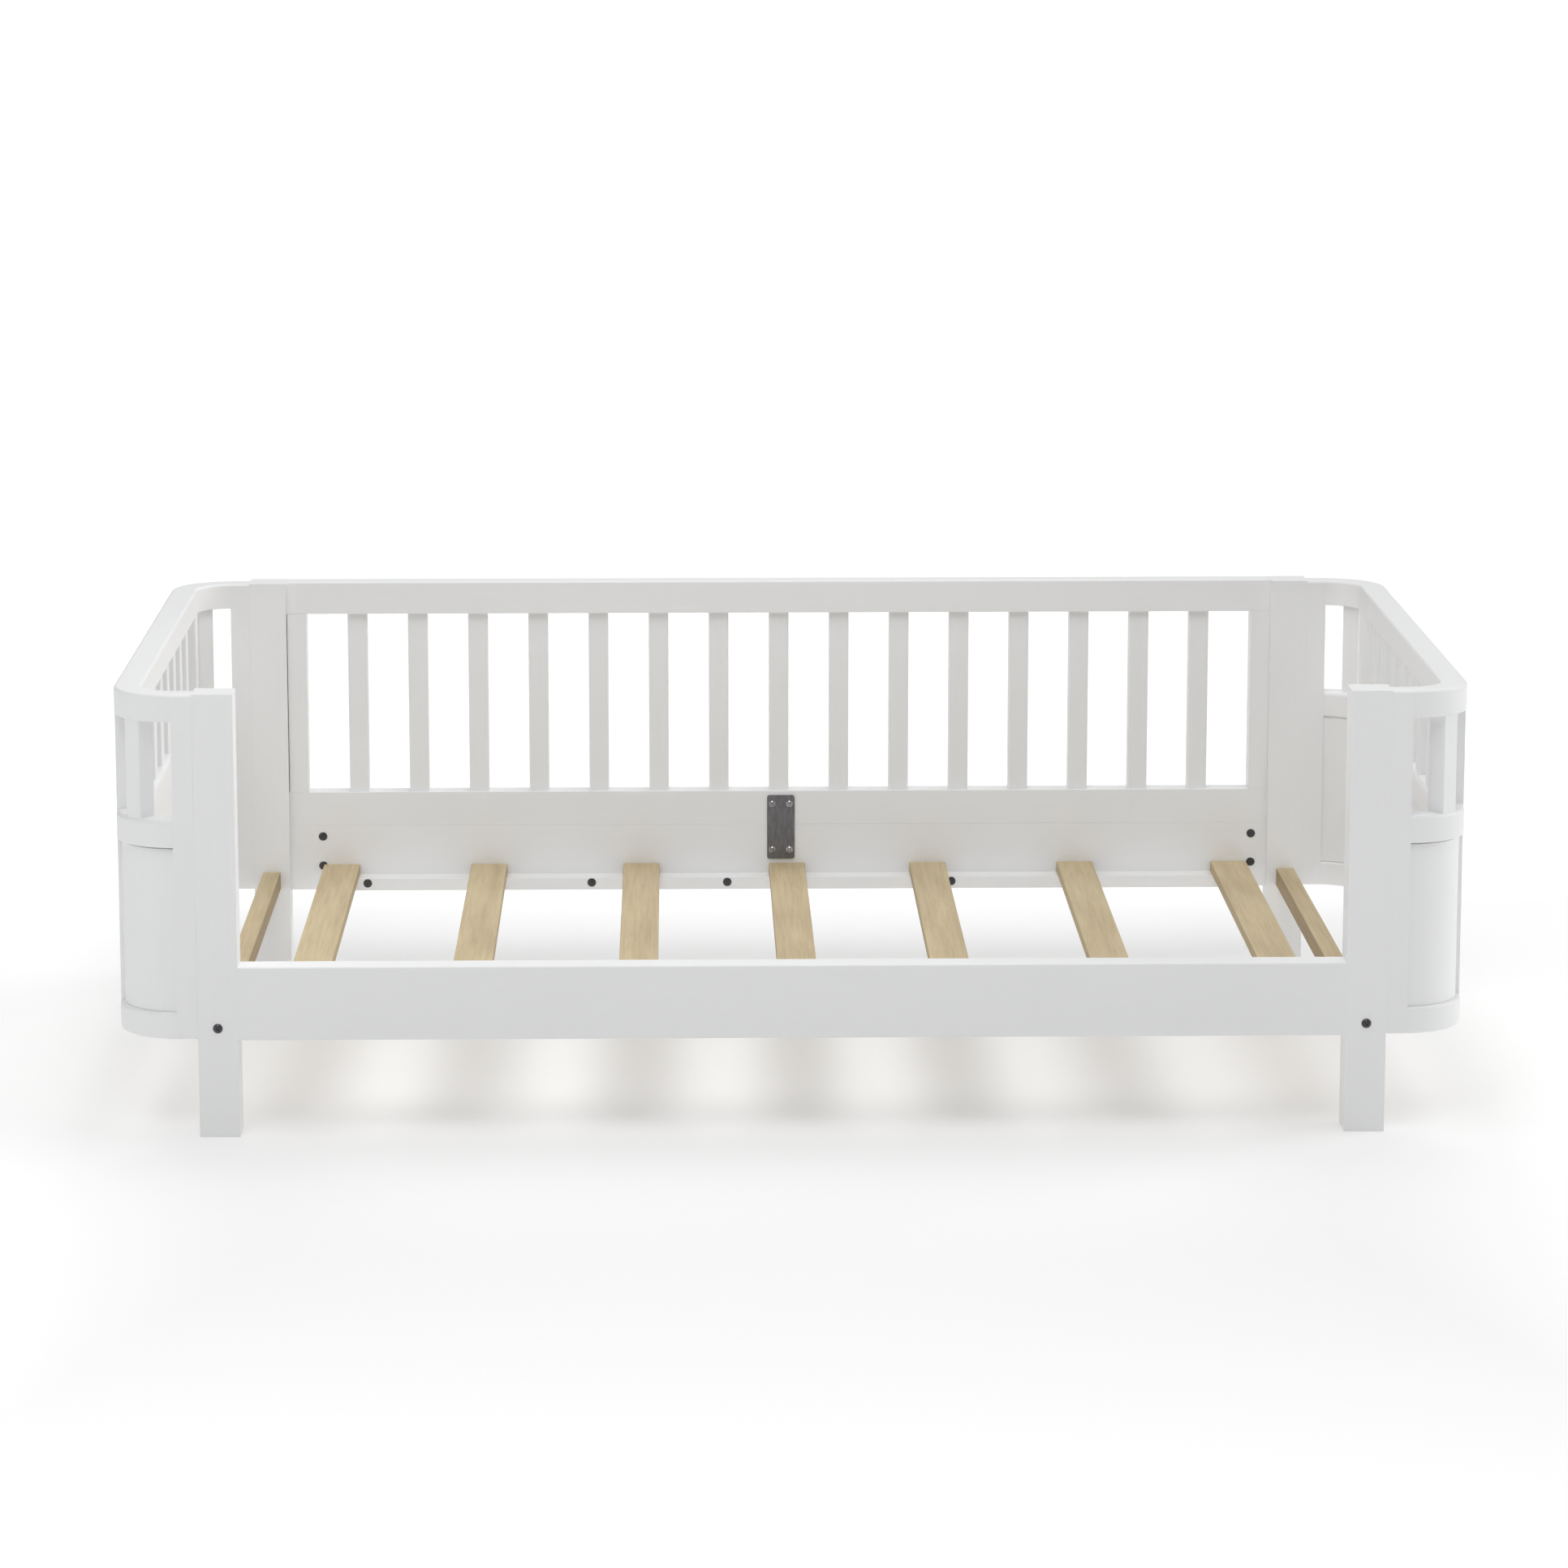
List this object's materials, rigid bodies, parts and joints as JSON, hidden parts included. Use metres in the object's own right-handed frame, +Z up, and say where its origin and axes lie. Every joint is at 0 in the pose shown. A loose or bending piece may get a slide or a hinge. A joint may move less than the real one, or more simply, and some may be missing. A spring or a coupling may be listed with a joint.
{
  "type": "toddler bed",
  "caption": "Low child's bed in white painted wood: rounded slatted ends, a slatted guard along the back, a low front rail and loose wooden slats on ledges to carry a mattress.",
  "frame": {"origin": "on the floor at the middle of the bed's footprint", "axes": "+X along the bed's length, to the right as seen from the open front; +Y to the guarded back; +Z up"},
  "size_m": [1.3884, 0.7924, 0.4614],
  "materials": {
    "white_paint": "satin white paint over wood",
    "natural_wood": "bare pale wood with fine grain",
    "dark_steel": "black oxide, satin"
  },
  "bodies": {
    "root": {"back_board": "white_paint", "bed_slat_1": "natural_wood", "bed_slat_2": "natural_wood", "bed_slat_3": "natural_wood", "bed_slat_4": "natural_wood", "bed_slat_5": "natural_wood", "bed_slat_6": "natural_wood", "bed_slat_7": "natural_wood", "crossbar_bolt_back_left": "dark_steel", "crossbar_bolt_back_right": "dark_steel", "crossbar_bolt_front_left": "dark_steel", "crossbar_bolt_front_right": "dark_steel", "crossbar_left": "natural_wood", "crossbar_right": "natural_wood", "end_left_bottom_rail": "white_paint", "end_left_middle_rail_and_slats": "white_paint", "end_left_panel_back_corner": "white_paint", "end_left_panel_front_corner": "white_paint", "end_left_panel_side": "white_paint", "end_left_stile_back": "white_paint", "end_left_stile_front": "white_paint", "end_left_top_rail": "white_paint", "end_right_bottom_rail": "white_paint", "end_right_middle_rail_and_slats": "white_paint", "end_right_panel_back_corner": "white_paint", "end_right_panel_front_corner": "white_paint", "end_right_panel_side": "white_paint", "end_right_stile_back": "white_paint", "end_right_stile_front": "white_paint", "end_right_top_rail": "white_paint", "front_rail": "white_paint", "guard_lower_rail": "white_paint", "guard_plate": "dark_steel", "guard_spindle_1": "white_paint", "guard_spindle_10": "white_paint", "guard_spindle_11": "white_paint", "guard_spindle_12": "white_paint", "guard_spindle_13": "white_paint", "guard_spindle_14": "white_paint", "guard_spindle_15": "white_paint", "guard_spindle_2": "white_paint", "guard_spindle_3": "white_paint", "guard_spindle_4": "white_paint", "guard_spindle_5": "white_paint", "guard_spindle_6": "white_paint", "guard_spindle_7": "white_paint", "guard_spindle_8": "white_paint", "guard_spindle_9": "white_paint", "guard_stile_left": "white_paint", "guard_stile_right": "white_paint", "guard_top_rail": "white_paint", "ledge_back": "white_paint", "ledge_front": "white_paint", "post_back_left": "white_paint", "post_back_right": "white_paint", "post_front_left": "white_paint", "post_front_right": "white_paint"}
  },
  "joints": []
}
